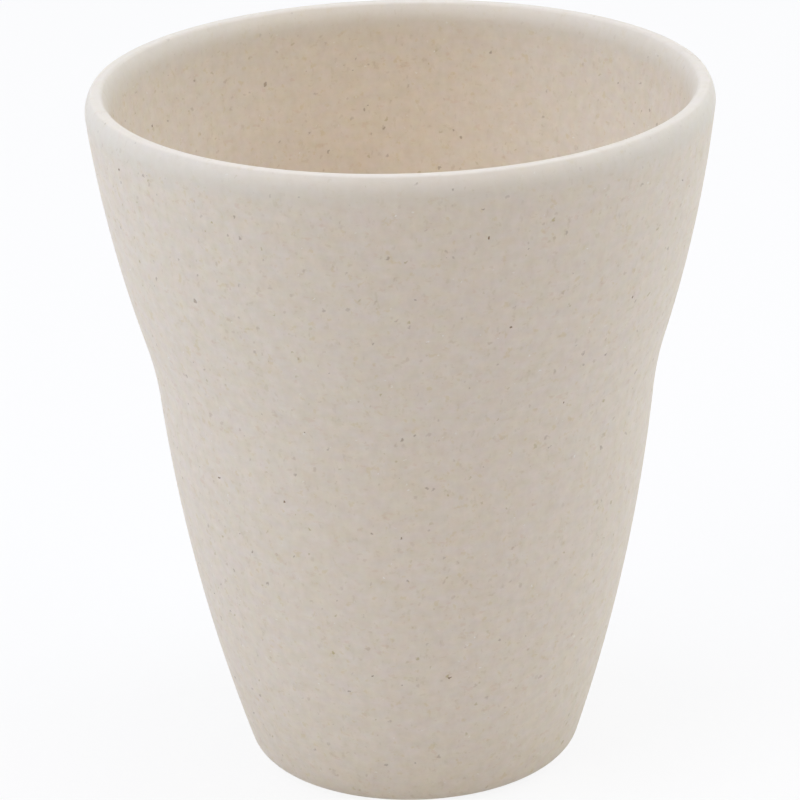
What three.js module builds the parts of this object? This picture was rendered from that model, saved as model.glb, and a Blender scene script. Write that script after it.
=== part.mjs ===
// A bamboo fibre cup, pressed in one piece: two shallow bowls, one on top of the other, with a soft waist
// where they meet, a rounded lip, a rounded heel, and a flat foot ring around a shallow recess.
// Millimetres, +Z up. The origin is the centre of the plane that the foot ring stands on.

import * as THREE from 'three';

// Driving dimensions of the outside
const RIM_DIAMETER = 90; // across the lip, at its widest
const UPPER_BOWL_HEIGHT = 41.2; // from the waist to the top of the lip
const UPPER_BOWL_RADIUS = 190; // how the upper bowl's side curves
const WAIST_DIAMETER = 73.1; // at the corner between the two bowls, before it is blended
const WAIST_BLEND_RADIUS = 50;
const LOWER_BOWL_HEIGHT = 61.8; // from the table to the waist
const LOWER_BOWL_RADIUS = 270; // how the lower bowl's side curves
const HEEL_RADIUS = 4;

// Driving dimensions of the wall, the lip and the floor
const WALL_THICKNESS = 3.5;
const LIP_SHOULDER_RADIUS = 4.4; // the broad round on the outside of the lip
const LIP_SHOULDER_DROP = 2.7; // from the top of the lip down to its widest point
const LIP_EDGE_RADIUS = 0.5; // between the shoulder and the land
const LIP_LAND_WIDTH = 0.8; // the flat top, before the inner round starts
const LIP_EASE_RADIUS = 6; // the softer round between the inner round and the inside of the wall
const LIP_EASE_DEPTH = 0.55; // how far that softer round sets the inner one back from the inside of the wall
const FLOOR_THICKNESS = 3.5;
const FLOOR_FILLET_RADIUS = 8;

// Driving dimensions of the foot
const FOOT_DIAMETER = 41.6; // outer edge of the flat ring
const FOOT_RING_WIDTH = 4;
const FOOT_RECESS_DEPTH = 1.2;
const FOOT_RECESS_SLOPE = 60; // steepest slope at the recess's edge, in degrees

// Fineness of the facets
const SIDES = 64; // around the axis
const FACET_DEPTH = 0.04; // most that a facet of the profile may lie inside its arc

const HEIGHT = LOWER_BOWL_HEIGHT + UPPER_BOWL_HEIGHT;
const UP = Math.PI / 2;
const DOWN = -Math.PI / 2;
const OUTWARD = 0;

// The profile lies in a plane through the axis: x is the distance from the axis, y is the height.

function point(x, y) {
  return new THREE.Vector2(x, y);
}

function angleFrom(centre, target) {
  return Math.atan2(target.y - centre.y, target.x - centre.x);
}

// The point at two given distances from a and b, to the left (1) or the right (-1) of the line from a to b
function atDistances(a, distanceA, b, distanceB, side) {
  const span = a.distanceTo(b);
  const along = (distanceA ** 2 - distanceB ** 2 + span ** 2) / (2 * span);
  const across = side * Math.sqrt(distanceA ** 2 - along ** 2);
  const direction = b.clone().sub(a).divideScalar(span);
  const leftward = point(-direction.y, direction.x);
  return a.clone().addScaledVector(direction, along).addScaledVector(leftward, across);
}

// The point at a given height and distance from a centre, on the side away from the axis
function atHeight(centre, distance, height) {
  return point(centre.x + Math.sqrt(distance ** 2 - (height - centre.y) ** 2), height);
}

// Points along an arc, by the shorter way round from one angle to the other
function arc(centre, radius, start, end) {
  const sweep = Math.atan2(Math.sin(end - start), Math.cos(end - start));
  const largestStep = 2 * Math.acos(1 - FACET_DEPTH / radius);
  const steps = Math.max(1, Math.ceil(Math.abs(sweep) / largestStep));
  const points = [];
  for (let i = 0; i <= steps; i += 1) {
    const angle = start + (sweep * i) / steps;
    points.push(point(centre.x + radius * Math.cos(angle), centre.y + radius * Math.sin(angle)));
  }
  return points;
}

// Centres of the outer rounds at the lip and the heel
const shoulder = point(RIM_DIAMETER / 2 - LIP_SHOULDER_RADIUS, HEIGHT - LIP_SHOULDER_DROP);
const lipEdge = atHeight(shoulder, LIP_SHOULDER_RADIUS - LIP_EDGE_RADIUS, HEIGHT - LIP_EDGE_RADIUS);
const heel = point(FOOT_DIAMETER / 2, HEEL_RADIUS);

// Centres of the two bowls' side curves: each passes through the waist and is tangent to the lip or the heel
const waist = point(WAIST_DIAMETER / 2, LOWER_BOWL_HEIGHT);
const upperBowl = atDistances(waist, UPPER_BOWL_RADIUS, shoulder, UPPER_BOWL_RADIUS - LIP_SHOULDER_RADIUS, 1);
const lowerBowl = atDistances(waist, LOWER_BOWL_RADIUS, heel, LOWER_BOWL_RADIUS - HEEL_RADIUS, -1);

// Centre of the waist's blend: outside both side curves where the waist is hollow (1), and inside them
// where it is proud (-1)
const hollow = Math.sign(angleFrom(lowerBowl, waist) - angleFrom(upperBowl, waist)) || 1;
const waistBlend = atDistances(
  lowerBowl,
  LOWER_BOWL_RADIUS + hollow * WAIST_BLEND_RADIUS,
  upperBowl,
  UPPER_BOWL_RADIUS + hollow * WAIST_BLEND_RADIUS,
  -hollow,
);

// The wall from the lower bowl up to the upper one, at a depth below the outer surface
function wallLine(depth, lowerEnd, upperEnd) {
  const blendStart = angleFrom(lowerBowl, waistBlend);
  const blendEnd = angleFrom(upperBowl, waistBlend);
  const blendTurn = hollow > 0 ? Math.PI : 0;
  return [
    ...arc(lowerBowl, LOWER_BOWL_RADIUS - depth, angleFrom(lowerBowl, lowerEnd), blendStart),
    ...arc(waistBlend, WAIST_BLEND_RADIUS + hollow * depth, blendStart + blendTurn, blendEnd + blendTurn),
    ...arc(upperBowl, UPPER_BOWL_RADIUS - depth, blendEnd, angleFrom(upperBowl, upperEnd)),
  ];
}

// The underside, from the axis out to the flat foot ring: the recess ends in an S-curve of two equal arcs
function undersideLine() {
  const slope = THREE.MathUtils.degToRad(FOOT_RECESS_SLOPE);
  const edgeRadius = FOOT_RECESS_DEPTH / (2 * (1 - Math.cos(slope)));
  const ringInner = FOOT_DIAMETER / 2 - FOOT_RING_WIDTH;
  const recessRadius = ringInner - 2 * edgeRadius * Math.sin(slope);
  return [
    point(0, FOOT_RECESS_DEPTH),
    ...arc(point(recessRadius, FOOT_RECESS_DEPTH - edgeRadius), edgeRadius, UP, UP - slope),
    ...arc(point(ringInner, edgeRadius), edgeRadius, DOWN - slope, DOWN),
  ];
}

// The outside, from the foot ring up to the top of the lip
function outsideLine() {
  return [
    ...arc(heel, HEEL_RADIUS, DOWN, angleFrom(lowerBowl, heel)),
    ...wallLine(0, heel, shoulder),
    ...arc(shoulder, LIP_SHOULDER_RADIUS, angleFrom(upperBowl, shoulder), OUTWARD),
    ...arc(shoulder, LIP_SHOULDER_RADIUS, OUTWARD, angleFrom(shoulder, lipEdge)),
    ...arc(lipEdge, LIP_EDGE_RADIUS, angleFrom(shoulder, lipEdge), UP),
  ];
}

// Centre and radius of the lip's inner round, which is tangent to the land and set back from the inside of
// the wall
function lipInnerRound() {
  const landEnd = point(lipEdge.x - LIP_LAND_WIDTH, HEIGHT);
  const reach = UPPER_BOWL_RADIUS - WALL_THICKNESS + LIP_EASE_DEPTH;
  const rise = HEIGHT - upperBowl.y;
  const radius = (landEnd.distanceToSquared(upperBowl) - reach ** 2) / (2 * (reach + rise));
  return { centre: point(landEnd.x, HEIGHT - radius), radius };
}

// The inside, from the centre of the floor up to the top of the lip
function insideLine() {
  const floorHeight = FOOT_RECESS_DEPTH + FLOOR_THICKNESS;
  const filletReach = LOWER_BOWL_RADIUS - WALL_THICKNESS - FLOOR_FILLET_RADIUS;
  const floorFillet = atHeight(lowerBowl, filletReach, floorHeight + FLOOR_FILLET_RADIUS);
  const lipInner = lipInnerRound();
  const easeReach = UPPER_BOWL_RADIUS - WALL_THICKNESS + LIP_EASE_RADIUS;
  const easeGap = LIP_EASE_RADIUS - lipInner.radius;
  const lipEase = atDistances(upperBowl, easeReach, lipInner.centre, easeGap, -1);
  const easeEnd = angleFrom(lipEase, lipInner.centre);
  return [
    point(0, floorHeight),
    ...arc(floorFillet, FLOOR_FILLET_RADIUS, DOWN, angleFrom(lowerBowl, floorFillet)),
    ...wallLine(WALL_THICKNESS, floorFillet, lipEase),
    ...arc(lipEase, LIP_EASE_RADIUS, angleFrom(lipEase, upperBowl), easeEnd),
    ...arc(lipInner.centre, lipInner.radius, easeEnd, UP),
  ];
}

// One closed profile, from the axis under the foot, over the lip and back to the axis on the floor
function cupProfile() {
  const line = [...undersideLine(), ...outsideLine(), ...insideLine().reverse()];
  const sameSpot = 1e-6;
  return line.filter((spot, i) => i === 0 || spot.distanceTo(line[i - 1]) > sameSpot);
}

function makeCupBody() {
  const geometry = new THREE.LatheGeometry(cupProfile(), SIDES);
  geometry.rotateX(Math.PI / 2);
  const bambooFibre = new THREE.MeshStandardMaterial({ color: 0xd2c9bb, roughness: 0.55, metalness: 0 });
  const body = new THREE.Mesh(geometry, bambooFibre);
  body.name = 'cup_body';
  return body;
}

const cup = new THREE.Group();
cup.name = 'bamboo_fibre_cup';
cup.add(makeCupBody());

export default cup;
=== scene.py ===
"""A bamboo fibre cup in a plain studio: the pressed shell and its speckled fibre finish.

Metres, +Z up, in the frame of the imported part, whose front faces -Y.
"""

import math

import bpy
from mathutils import Matrix, Vector


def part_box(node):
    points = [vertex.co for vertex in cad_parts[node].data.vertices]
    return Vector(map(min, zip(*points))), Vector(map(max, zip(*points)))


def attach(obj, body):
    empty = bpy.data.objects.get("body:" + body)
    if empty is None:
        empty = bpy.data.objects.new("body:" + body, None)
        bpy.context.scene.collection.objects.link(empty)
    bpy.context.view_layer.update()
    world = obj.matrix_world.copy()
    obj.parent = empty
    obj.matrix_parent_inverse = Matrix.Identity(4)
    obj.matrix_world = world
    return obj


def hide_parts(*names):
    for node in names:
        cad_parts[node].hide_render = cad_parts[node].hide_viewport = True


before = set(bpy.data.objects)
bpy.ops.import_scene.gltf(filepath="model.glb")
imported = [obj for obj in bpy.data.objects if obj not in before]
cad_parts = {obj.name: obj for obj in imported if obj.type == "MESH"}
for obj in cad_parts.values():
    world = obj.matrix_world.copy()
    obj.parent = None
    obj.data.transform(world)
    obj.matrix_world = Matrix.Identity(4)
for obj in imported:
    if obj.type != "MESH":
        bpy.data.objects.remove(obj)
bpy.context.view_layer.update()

MM = 0.001

# Sizes of the moulding, the height and the rim taken from the frame
HIGHEST_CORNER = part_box("cup_body")[1]
HEIGHT = HIGHEST_CORNER.z
RIM_RADIUS = HIGHEST_CORNER.x
WAIST_HEIGHT = 61.8 * MM
WAIST_RADIUS = 36.55 * MM
UPPER_BOWL_RADIUS = 190 * MM
LOWER_BOWL_RADIUS = 270 * MM
WAIST_BLEND_RADIUS = 50 * MM
HEEL_RADIUS = 4 * MM
WALL_THICKNESS = 3.5 * MM
LIP_SHOULDER_RADIUS = 4.4 * MM  # the broad round on the outside of the lip
LIP_SHOULDER_DROP = 2.7 * MM  # from the top of the lip down to its widest point
LIP_EDGE_RADIUS = 0.5 * MM
LIP_LAND_WIDTH = 0.8 * MM
LIP_EASE_RADIUS = 6 * MM  # the softer round between the inner round and the inside of the wall
LIP_EASE_DEPTH = 0.55 * MM  # how far it sets the inner round back from the inside of the wall
FLOOR_THICKNESS = 3.5 * MM
FLOOR_FILLET_RADIUS = 8 * MM
FOOT_RADIUS = 20.8 * MM
FOOT_RING_WIDTH = 4 * MM
FOOT_RECESS_DEPTH = 1.2 * MM
FOOT_RECESS_SLOPE = math.radians(60)  # at its steepest

# Fineness of the mesh
SIDES = 240
PROFILE_STEP = 0.9 * MM
ROUND_STEP = math.radians(7.5)
SAME_SPOT = 0.001 * MM

UP = math.pi / 2
DOWN = -math.pi / 2


# Profile of the shell: x is the distance from the axis, y is the height

def angle_from(centre, target):
    return math.atan2(target.y - centre.y, target.x - centre.x)


def at_distances(a, distance_a, b, distance_b, side):
    """The point at two distances from a and b, left (1) or right (-1) of the line from a to b."""
    span = (b - a).length
    along = (distance_a**2 - distance_b**2 + span**2) / (2 * span)
    across = side * math.sqrt(distance_a**2 - along**2)
    direction = (b - a) / span
    return a + direction * along + Vector((-direction.y, direction.x)) * across


def at_height(centre, distance, height):
    """The point at a height and a distance from a centre, on the side away from the axis."""
    return Vector((centre.x + math.sqrt(distance**2 - (height - centre.y) ** 2), height))


def arc(centre, radius, start, end):
    """Points along an arc, by the shorter way round."""
    sweep = math.atan2(math.sin(end - start), math.cos(end - start))
    steps = max(2, math.ceil(abs(sweep) / min(ROUND_STEP, PROFILE_STEP / radius)))
    angles = [start + sweep * i / steps for i in range(steps + 1)]
    return [centre + radius * Vector((math.cos(a), math.sin(a))) for a in angles]


def line(start, end):
    steps = max(1, math.ceil((end - start).length / PROFILE_STEP))
    return [start.lerp(end, i / steps) for i in range(steps + 1)]


SHOULDER = Vector((RIM_RADIUS - LIP_SHOULDER_RADIUS, HEIGHT - LIP_SHOULDER_DROP))
LIP_EDGE = at_height(SHOULDER, LIP_SHOULDER_RADIUS - LIP_EDGE_RADIUS, HEIGHT - LIP_EDGE_RADIUS)
HEEL = Vector((FOOT_RADIUS, HEEL_RADIUS))
WAIST = Vector((WAIST_RADIUS, WAIST_HEIGHT))
UPPER_BOWL = at_distances(WAIST, UPPER_BOWL_RADIUS, SHOULDER, UPPER_BOWL_RADIUS - LIP_SHOULDER_RADIUS, 1)
LOWER_BOWL = at_distances(WAIST, LOWER_BOWL_RADIUS, HEEL, LOWER_BOWL_RADIUS - HEEL_RADIUS, -1)
WAIST_BLEND = at_distances(
    LOWER_BOWL,
    LOWER_BOWL_RADIUS + WAIST_BLEND_RADIUS,
    UPPER_BOWL,
    UPPER_BOWL_RADIUS + WAIST_BLEND_RADIUS,
    -1,
)


def wall_line(depth, lower_end, upper_end):
    """The wall from the lower bowl to the upper one, at a depth below the outer surface."""
    blend_start = angle_from(LOWER_BOWL, WAIST_BLEND)
    blend_end = angle_from(UPPER_BOWL, WAIST_BLEND)
    lower = arc(LOWER_BOWL, LOWER_BOWL_RADIUS - depth, angle_from(LOWER_BOWL, lower_end), blend_start)
    blend = arc(WAIST_BLEND, WAIST_BLEND_RADIUS + depth, blend_start + math.pi, blend_end + math.pi)
    upper = arc(UPPER_BOWL, UPPER_BOWL_RADIUS - depth, blend_end, angle_from(UPPER_BOWL, upper_end))
    return lower + blend + upper


def underside_line():
    """From the axis over the recess to the flat foot ring."""
    edge_radius = FOOT_RECESS_DEPTH / (2 * (1 - math.cos(FOOT_RECESS_SLOPE)))
    ring_inner = FOOT_RADIUS - FOOT_RING_WIDTH
    recess_radius = ring_inner - 2 * edge_radius * math.sin(FOOT_RECESS_SLOPE)
    recess_edge = Vector((recess_radius, FOOT_RECESS_DEPTH - edge_radius))
    ring_edge = Vector((ring_inner, edge_radius))
    ceiling = line(Vector((0, FOOT_RECESS_DEPTH)), Vector((recess_radius, FOOT_RECESS_DEPTH)))
    step = arc(recess_edge, edge_radius, UP, UP - FOOT_RECESS_SLOPE)
    step += arc(ring_edge, edge_radius, DOWN - FOOT_RECESS_SLOPE, DOWN)
    return ceiling + step + line(Vector((ring_inner, 0)), Vector((FOOT_RADIUS, 0)))


def outside_line():
    """From the foot ring up to the top of the lip."""
    heel = arc(HEEL, HEEL_RADIUS, DOWN, angle_from(LOWER_BOWL, HEEL))
    lip = arc(SHOULDER, LIP_SHOULDER_RADIUS, angle_from(UPPER_BOWL, SHOULDER), 0)
    lip += arc(SHOULDER, LIP_SHOULDER_RADIUS, 0, angle_from(SHOULDER, LIP_EDGE))
    lip += arc(LIP_EDGE, LIP_EDGE_RADIUS, angle_from(SHOULDER, LIP_EDGE), UP)
    return heel + wall_line(0, HEEL, SHOULDER) + lip


def lip_inner_round():
    """Centre and radius of the lip's inner round, tangent to its land and set back from the wall's inside."""
    land_end = Vector((LIP_EDGE.x - LIP_LAND_WIDTH, HEIGHT))
    reach = UPPER_BOWL_RADIUS - WALL_THICKNESS + LIP_EASE_DEPTH
    rise = HEIGHT - UPPER_BOWL.y
    radius = ((land_end - UPPER_BOWL).length_squared - reach**2) / (2 * (reach + rise))
    return Vector((land_end.x, HEIGHT - radius)), radius


def inside_line():
    """From the centre of the floor up to the top of the lip."""
    floor_height = FOOT_RECESS_DEPTH + FLOOR_THICKNESS
    fillet_reach = LOWER_BOWL_RADIUS - WALL_THICKNESS - FLOOR_FILLET_RADIUS
    fillet = at_height(LOWER_BOWL, fillet_reach, floor_height + FLOOR_FILLET_RADIUS)
    lip, lip_radius = lip_inner_round()
    ease_reach = UPPER_BOWL_RADIUS - WALL_THICKNESS + LIP_EASE_RADIUS
    ease = at_distances(UPPER_BOWL, ease_reach, lip, LIP_EASE_RADIUS - lip_radius, -1)
    flat = line(Vector((0, floor_height)), Vector((fillet.x, floor_height)))
    bend = arc(fillet, FLOOR_FILLET_RADIUS, DOWN, angle_from(LOWER_BOWL, fillet))
    edge = arc(ease, LIP_EASE_RADIUS, angle_from(ease, UPPER_BOWL), angle_from(ease, lip))
    edge += arc(lip, lip_radius, angle_from(ease, lip), UP)
    return flat + bend + wall_line(WALL_THICKNESS, fillet, ease) + edge


def cup_profile():
    """One line from the axis under the foot, over the lip and back to the axis on the floor."""
    points = underside_line() + outside_line() + inside_line()[::-1]
    kept = points[:1]
    for spot in points[1:]:
        if (spot - kept[-1]).length > SAME_SPOT:
            kept.append(spot)
    return kept


def spin(name, profile):
    """A closed mesh from a profile that starts and ends on the axis."""
    rings = profile[1:-1]
    vertices = [(0, 0, profile[0].y)]
    for spot in rings:
        for side in range(SIDES):
            angle = 2 * math.pi * side / SIDES
            vertices.append((spot.x * math.cos(angle), spot.x * math.sin(angle), spot.y))
    vertices.append((0, 0, profile[-1].y))
    last = len(vertices) - 1
    faces = []
    for side in range(SIDES):
        after = (side + 1) % SIDES
        faces.append((0, 1 + after, 1 + side))
        for ring in range(len(rings) - 1):
            base = 1 + ring * SIDES
            faces.append((base + side, base + after, base + SIDES + after, base + SIDES + side))
        base = 1 + (len(rings) - 1) * SIDES
        faces.append((base + side, base + after, last))
    mesh = bpy.data.meshes.new(name)
    mesh.from_pydata(vertices, [], faces)
    mesh.shade_smooth()
    piece = bpy.data.objects.new(name, mesh)
    bpy.context.scene.collection.objects.link(piece)
    return piece


# Shader maths

class Socket:
    """A node's output. Used in an expression, it adds Math nodes to its tree."""

    def __init__(self, tree, socket):
        self.tree = tree
        self.socket = socket

    def output(self, name):
        """Another output of the same node."""
        return Socket(self.tree, self.socket.node.outputs[name])

    def math(self, operation, first, second):
        return self.tree.node("ShaderNodeMath", {"operation": operation}, {0: first, 1: second})

    def __add__(self, other):
        return self.math("ADD", self, other)

    __radd__ = __add__

    def __sub__(self, other):
        return self.math("SUBTRACT", self, other)

    def __rsub__(self, other):
        return self.math("SUBTRACT", other, self)

    def __mul__(self, other):
        return self.math("MULTIPLY", self, other)

    __rmul__ = __mul__

    def __truediv__(self, other):
        return self.math("DIVIDE", self, other)

    def __rtruediv__(self, other):
        return self.math("DIVIDE", other, self)

    def __lt__(self, other):
        return self.math("LESS_THAN", self, other)


class Tree:
    """A material's or the world's node tree."""

    def __init__(self, owner):
        owner.use_nodes = True
        self.nodes = owner.node_tree.nodes
        self.links = owner.node_tree.links
        self.nodes.clear()

    def node(self, kind, settings=None, inputs=None, output=0):
        """Adds a node, sets its settings, then its sockets, and returns one of its outputs."""
        made = self.nodes.new(kind)
        for key, value in (settings or {}).items():
            setattr(made, key, value)
        for key, value in (inputs or {}).items():
            if isinstance(value, Socket):
                self.links.new(value.socket, made.inputs[key])
            else:
                made.inputs[key].default_value = value
        return Socket(self, made.outputs[output]) if made.outputs else made

    def blend(self, share, under, over):
        """A colour that goes from one to the other as share goes from 0 to 1."""
        return self.node("ShaderNodeMix", {"data_type": "RGBA"}, {0: share, 6: under, 7: over}, 2)

    def vector(self, operation, first, second):
        return self.node("ShaderNodeVectorMath", {"operation": operation}, {0: first, 1: second})

    def noise(self, spot, size, detail=2.0, roughness=0.5):
        """Noise around 0.5, with features of a size and finer ones."""
        inputs = {"Vector": spot, "Scale": 1 / size, "Detail": detail, "Roughness": roughness}
        return self.node("ShaderNodeTexNoise", {}, inputs)


# The bamboo fibre finish, with its lengths in millimetres

# Colours of the pressed powder, of the fibres in it and of the painted highlight on the lip, and the ends of
# the powder's tone
ROSY_CREAM = (0.780, 0.667, 0.548, 1)
GREENISH_CREAM = (0.752, 0.684, 0.543, 1)
BLUISH_CREAM = (0.764, 0.677, 0.594, 1)
YELLOWISH_CREAM = (0.769, 0.675, 0.499, 1)
HUSK = (0.19, 0.09, 0.015, 1)
FIBRE_BROWN = (0.36, 0.22, 0.09, 1)
STRAW = (0.66, 0.53, 0.24, 1)
RUST = (0.62, 0.38, 0.22, 1)
OLIVE = (0.44, 0.35, 0.10, 1)
PITH = (0.92, 0.90, 0.84, 1)
# Painted highlight: a paler, whiter cream that stands in for the sheen on the lip
PAINTED_LIP_HIGHLIGHT = (0.75, 0.715, 0.615, 1)
LIGHTEST = (1.12, 1.14, 1.18, 1)
DARKEST = (0.88, 0.86, 0.82, 1)

# Mottle of the powder: two tints and a tone, from noise that is drawn out along the level or the upright
GRAIN_SQUEEZE = 0.6
MOTTLE_DETAIL = 2
MOTTLE_ROUGHNESS = 0.6
RED_GREEN_SIZE = 1.8
RED_GREEN_CONTRAST = 3.3
BLUE_YELLOW_SIZE = 1.6
BLUE_YELLOW_CONTRAST = 2.4
TONE_SIZE = 1.3
TONE_CONTRAST = 1.05

# Ragged fibre patches: colour, strength, grain, then the noise's size, detail, roughness and lower edge
FIBRE_PATCHES = (
    (STRAW, 0.31, "straight", 1.3, 3, 0.55, 0.61),
    (OLIVE, 0.13, "upright", 1.1, 3, 0.55, 0.62),
    (RUST, 0.18, "level", 1.2, 3, 0.55, 0.62),
    (FIBRE_BROWN, 0.12, "level", 0.8, 2, 0.5, 0.65),
    (FIBRE_BROWN, 0.12, "upright", 0.85, 2, 0.5, 0.65),
)
PATCH_SOFTNESS = 0.10

# Flecks: colour, strength, half length, half width, number on a square centimetre, and turn in radians
FLECKS = (
    (OLIVE, 0.55, 0.48, 0.30, 3.3, (0.4, 0.8, 0.7)),
    (FIBRE_BROWN, 0.28, 0.55, 0.36, 5, (0.5, 0.9, 1.2)),
    (HUSK, 0.48, 0.46, 0.32, 3, (0.7, 0.8, 0.4)),
    (HUSK, 0.95, 0.38, 0.25, 1, (0.3, 0.2, 1.5)),
    (PITH, 0.7, 0.25, 0.18, 4, (0.2, 0.5, 0.1)),
)
FLECK_SHARE = 0.5  # of the cells that could hold a fleck
FLECK_CORE = 0.45  # of a fleck's reach that has its full strength
SMALLEST_FLECK = 0.5
FAINTEST_FLECK = 0.35
WARP_SIZE = 0.55
WARP_DETAIL = 1
WARP_DEPTH = 0.8

# The lip's painted highlight and its smoother gloss, from a depth below its top
LIP_HIGHLIGHT_STRENGTH = 0.55
LIP_HIGHLIGHT_AND_GLOSS_DEPTH = 5.5
LIP_HIGHLIGHT_AND_GLOSS_FADE = 4.2
LIP_SMOOTHNESS = 0.08

# Gloss and surface
LEAST_ROUGHNESS = 0.42
ROUGHNESS_SWING = 0.16
GLOSS_PATCH_SIZE = 1.5
SPECULAR = 0.2
BUMP_SIZE = 0.35
BUMP_DETAIL = 3
BUMP_DEPTH = 0.03
BUMP_STRENGTH = 0.15


def contrast(noise, strength):
    """Noise with its swing about 0.5 made larger."""
    return (noise - 0.5) * strength + 0.5


def above(tree, value, edge, softness):
    """A mask that rises from 0 to 1 as a value goes past an edge."""
    ends = {"Value": value, "From Min": edge, "From Max": edge + softness}
    return tree.node("ShaderNodeMapRange", {"interpolation_type": "SMOOTHSTEP"}, ends)


def flecks(tree, spot, half_length, half_width, per_square_cm, turn):
    """A mask of flecks of one kind, scattered through the moulding, each with its own size and strength."""
    per_square_mm = per_square_cm / 100
    # The surface cuts flecks up to half a length away on either side, which sets how far apart the cells are
    gap = (2 * FLECK_SHARE / (per_square_mm * half_length * half_width)) ** (1 / 3)
    cell = (1 / (gap * half_length), 1 / (gap * half_length), 1 / (gap * half_width))
    by_angles = {"rotation_type": "EULER_XYZ"}
    turned = tree.node("ShaderNodeVectorRotate", by_angles, {"Vector": spot, "Rotation": turn})
    in_cells = tree.vector("MULTIPLY", turned, cell)
    nearest = tree.node("ShaderNodeTexVoronoi", {}, {"Vector": in_cells, "Scale": 1})
    chance = tree.node("ShaderNodeSeparateColor", {}, {0: nearest.output("Color")})
    size = SMALLEST_FLECK + (1 - SMALLEST_FLECK) * chance.output("Green")
    strength = FAINTEST_FLECK + (1 - FAINTEST_FLECK) * chance.output("Blue")
    reach = nearest * gap / size
    body = tree.node(
        "ShaderNodeMapRange",
        {"interpolation_type": "SMOOTHSTEP"},
        {"Value": reach, "From Min": 1, "From Max": FLECK_CORE, "To Min": 0, "To Max": 1},
    )
    return body * (chance < FLECK_SHARE) * strength


def powder_colour(tree, grains):
    """The mottled cream of the pressed powder."""

    def mottle(grain, size):
        return tree.noise(grains[grain], size, MOTTLE_DETAIL, MOTTLE_ROUGHNESS)

    red_green = contrast(mottle("straight", RED_GREEN_SIZE), RED_GREEN_CONTRAST)
    blue_yellow = contrast(mottle("level", BLUE_YELLOW_SIZE), BLUE_YELLOW_CONTRAST)
    tone = 0.5 * mottle("level", TONE_SIZE) + 0.5 * mottle("upright", TONE_SIZE)
    first_tint = tree.blend(red_green, ROSY_CREAM, GREENISH_CREAM)
    second_tint = tree.blend(blue_yellow, BLUISH_CREAM, YELLOWISH_CREAM)
    shade = tree.blend(contrast(tone, TONE_CONTRAST), DARKEST, LIGHTEST)
    return tree.vector("MULTIPLY", tree.blend(0.5, first_tint, second_tint), shade)


def speckled(tree, colour, grains):
    """A colour with the fibre patches and the flecks over it."""
    for fibre, strength, grain, size, detail, roughness, edge in FIBRE_PATCHES:
        noise = tree.noise(grains[grain], size, detail, roughness)
        colour = tree.blend(above(tree, noise, edge, PATCH_SOFTNESS) * strength, colour, fibre)
    wander = tree.noise(grains["straight"], WARP_SIZE, WARP_DETAIL).output("Color")
    warp = tree.vector("MULTIPLY", wander, (WARP_DEPTH, WARP_DEPTH, WARP_DEPTH))
    spot = tree.vector("ADD", grains["straight"], warp)
    for fibre, strength, half_length, half_width, per_square_cm, turn in FLECKS:
        mask = flecks(tree, spot, half_length, half_width, per_square_cm, turn)
        colour = tree.blend(mask * strength, colour, fibre)
    return colour


def bamboo_fibre():
    material = bpy.data.materials.new("speckled_bamboo_fibre")
    tree = Tree(material)
    place = tree.node("ShaderNodeTexCoord", {}, {}, "Object")
    straight = tree.vector("MULTIPLY", place, (1 / MM, 1 / MM, 1 / MM))
    grains = {
        "straight": straight,
        "level": tree.vector("MULTIPLY", straight, (GRAIN_SQUEEZE, GRAIN_SQUEEZE, 1)),
        "upright": tree.vector("MULTIPLY", straight, (1, 1, GRAIN_SQUEEZE)),
    }
    height = tree.node("ShaderNodeSeparateXYZ", {}, {0: straight}, "Z")
    # A band at the top of the lip that carries a painted highlight in the colour and a smoother gloss in the
    # roughness
    lip_highlight_and_gloss = above(tree, height, HEIGHT / MM - LIP_HIGHLIGHT_AND_GLOSS_DEPTH, LIP_HIGHLIGHT_AND_GLOSS_FADE)
    colour = speckled(tree, powder_colour(tree, grains), grains)
    # Painted highlight: the lip's colour is blended towards a paler, whiter cream
    colour = tree.blend(lip_highlight_and_gloss * LIP_HIGHLIGHT_STRENGTH, colour, PAINTED_LIP_HIGHLIGHT)

    gloss_patches = tree.noise(straight, GLOSS_PATCH_SIZE)
    roughness = LEAST_ROUGHNESS + ROUGHNESS_SWING * gloss_patches - LIP_SMOOTHNESS * lip_highlight_and_gloss
    grit = tree.noise(straight, BUMP_SIZE, BUMP_DETAIL)
    relief = {"Strength": BUMP_STRENGTH, "Distance": BUMP_DEPTH * MM, "Height": grit}
    bump = tree.node("ShaderNodeBump", {}, relief)
    shader = tree.node(
        "ShaderNodeBsdfPrincipled",
        {},
        {"Base Color": colour, "Roughness": roughness, "Normal": bump, "Specular IOR Level": SPECULAR},
    )
    tree.node("ShaderNodeOutputMaterial", {}, {"Surface": shader})
    return material


# The cup

def make_cup():
    cup = spin("cup_shell", cup_profile())
    cup.data.materials.append(bamboo_fibre())
    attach(cup, "root")
    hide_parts("cup_body")


# The studio

WHITE = (1, 1, 1, 1)
WHITE_STRENGTH = 1.0
WORLD_STRENGTH = 0.08
FLOOR_RADIUS = 6.0
FLOOR_SIDES = 96
FLOOR_GREY = (0.86, 0.86, 0.86, 1)
FLOOR_WHITE_SHARE = 0.88  # of the floor's look, where it is seen

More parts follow.
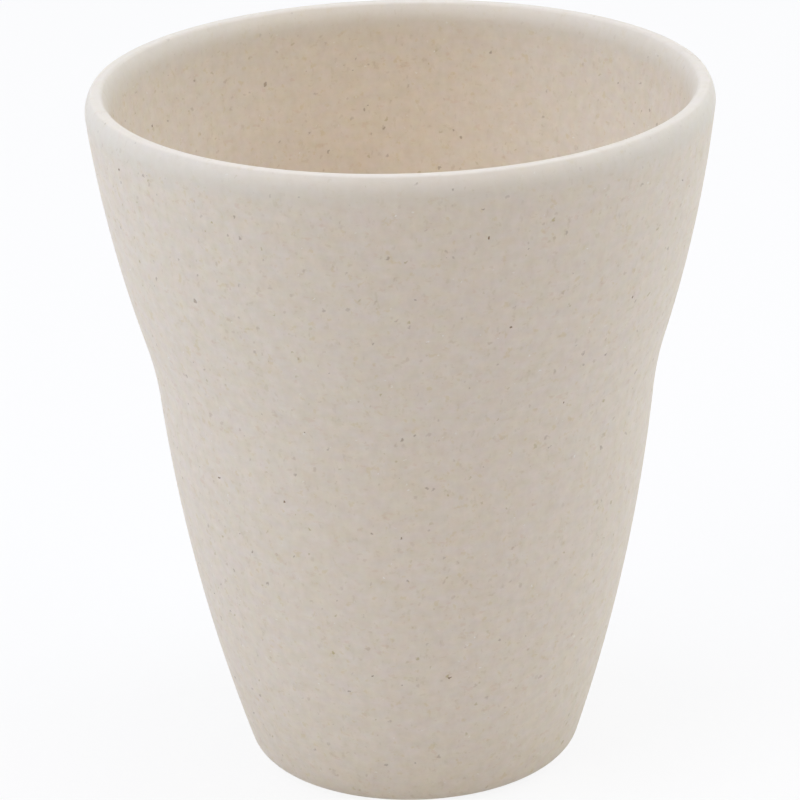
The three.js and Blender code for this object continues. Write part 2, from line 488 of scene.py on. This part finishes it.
# Softboxes: name, turn and lift in degrees, distance, width and length, and watts of red, green and blue
SOFTBOXES = (
    ("front_left_softbox", -50, 40, 1.2, (0.7, 0.7), (4.74, 4.7, 4.53)),
    ("front_right_softbox", 50, 40, 1.2, (0.7, 0.7), (2.01, 1.24, 0.8)),
    ("left_softbox", -90, 38, 1.1, (0.8, 0.9), (3.32, 3.84, 5.25)),
    ("right_softbox", 90, 38, 1.1, (0.8, 0.9), (4.81, 5.78, 6.72)),
    ("top_softbox", 0, 90, 1.2, (0.5, 0.5), (3.9, 4.0, 5.0)),
    ("back_left_softbox", -140, 25, 1.2, (0.7, 0.7), (1.25, 1.26, 1.28)),
    ("back_right_softbox", 140, 25, 1.2, (0.7, 0.7), (1.25, 1.26, 1.28)),
)


def is_seen(tree):
    """1 on rays that show the background: from the camera, or through gloss or glass."""
    camera = tree.node("ShaderNodeLightPath", {}, {}, "Is Camera Ray")
    through = camera.output("Is Glossy Ray") + camera.output("Is Transmission Ray")
    return camera.math("MAXIMUM", camera, through)


def floor_material():
    material = bpy.data.materials.new("studio_floor")
    tree = Tree(material)
    matt = tree.node("ShaderNodeBsdfDiffuse", {}, {"Color": FLOOR_GREY})
    white = tree.node("ShaderNodeEmission", {}, {"Color": WHITE, "Strength": WHITE_STRENGTH})
    share = is_seen(tree) * FLOOR_WHITE_SHARE
    surface = tree.node("ShaderNodeMixShader", {}, {0: share, 1: matt, 2: white})
    tree.node("ShaderNodeOutputMaterial", {}, {"Surface": surface})
    return material


def make_floor():
    bpy.ops.mesh.primitive_circle_add(vertices=FLOOR_SIDES, radius=FLOOR_RADIUS, fill_type="NGON")
    floor = bpy.context.object
    floor.name = "studio_floor"
    floor.data.materials.append(floor_material())


def soft_light(name, turn, lift, distance, size, power):
    """A softbox aimed at the cup, turned from the front to the right and lifted from level, in degrees."""
    turn = math.radians(turn)
    lift = math.radians(lift)
    middle = Vector((0, 0, HEIGHT / 2))
    level = Vector((math.sin(turn), -math.cos(turn), 0)) * math.cos(lift)
    place = middle + (level + Vector((0, 0, math.sin(lift)))) * distance
    lamp = bpy.data.lights.new(name, "AREA")
    lamp.shape = "RECTANGLE"
    lamp.size, lamp.size_y = size
    lamp.energy = max(power)
    lamp.color = [channel / lamp.energy for channel in power]
    holder = bpy.data.objects.new(name, lamp)
    holder.location = place
    holder.rotation_mode = "QUATERNION"
    holder.rotation_quaternion = (middle - place).to_track_quat("-Z", "Y")
    bpy.context.scene.collection.objects.link(holder)


def make_light():
    world = bpy.data.worlds.new("studio")
    tree = Tree(world)
    plain = tree.node("ShaderNodeBackground", {}, {"Color": WHITE, "Strength": WORLD_STRENGTH})
    seen = tree.node("ShaderNodeBackground", {}, {"Color": WHITE, "Strength": WHITE_STRENGTH})
    surface = tree.node("ShaderNodeMixShader", {}, {0: is_seen(tree), 1: plain, 2: seen})
    tree.node("ShaderNodeOutputWorld", {}, {"Surface": surface})
    bpy.context.scene.world = world
    for softbox in SOFTBOXES:
        soft_light(*softbox)


# The photograph's camera, from its distance, its height, the point that it aims at and its roll
CAMERA_PLACE = Vector((0, -580, 275.13)) * MM
CAMERA_AIM = Vector((-1.071, 0, 54.436)) * MM
CAMERA_ROLL = -0.025  # in radians
SENSOR_WIDTH = 36  # in millimetres, like the lens
PICTURE_WIDTH = 800
FOCAL_PIXELS = 4228.7
CLIP_START = 0.05
CLIP_END = 50


def make_camera():
    camera = bpy.data.objects.new("camera", bpy.data.cameras.new("camera"))
    camera.data.sensor_width = SENSOR_WIDTH
    camera.data.lens = FOCAL_PIXELS * SENSOR_WIDTH / PICTURE_WIDTH
    camera.data.clip_start = CLIP_START
    camera.data.clip_end = CLIP_END
    forward = (CAMERA_AIM - CAMERA_PLACE).normalized()
    right = forward.cross(Vector((0, 0, 1))).normalized()
    upright = right.cross(forward)
    level = Matrix((right, upright, -forward)).transposed()
    turn = level @ Matrix.Rotation(CAMERA_ROLL, 3, "Z")
    camera.matrix_world = Matrix.Translation(CAMERA_PLACE) @ turn.to_4x4()
    bpy.context.scene.collection.objects.link(camera)
    bpy.context.scene.camera = camera


make_camera()
make_cup()
make_floor()
make_light()
bpy.context.scene.view_settings.view_transform = "Standard"
